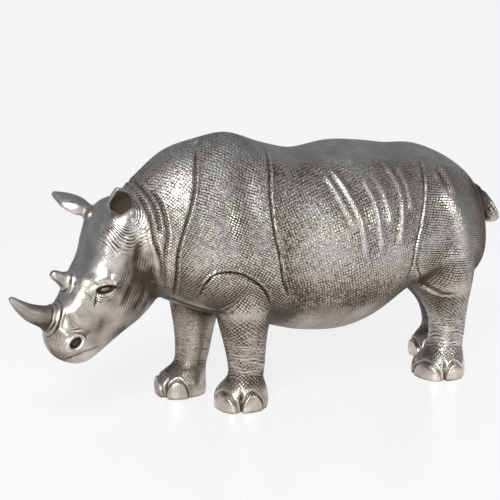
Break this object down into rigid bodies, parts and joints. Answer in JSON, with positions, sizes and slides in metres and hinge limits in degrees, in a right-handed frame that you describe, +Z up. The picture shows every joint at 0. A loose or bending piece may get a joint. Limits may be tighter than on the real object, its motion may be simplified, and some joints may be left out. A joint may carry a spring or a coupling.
{
  "type": "rhinoceros figurine",
  "caption": "Standing rhinoceros ornament in antique silver finish, head low and turned aside, with folded hide.",
  "frame": {"origin": "on the table under the middle of the figure's outer box", "axes": "-X is the way the animal faces, -Y is its left side, +Z is up"},
  "size_m": [0.3314, 0.1042, 0.1649],
  "materials": {
    "antique_silver": "antique silver leaf over cast resin, brown patina in the folds"
  },
  "bodies": {
    "root": {"rhinoceros": "antique_silver"}
  },
  "joints": []
}
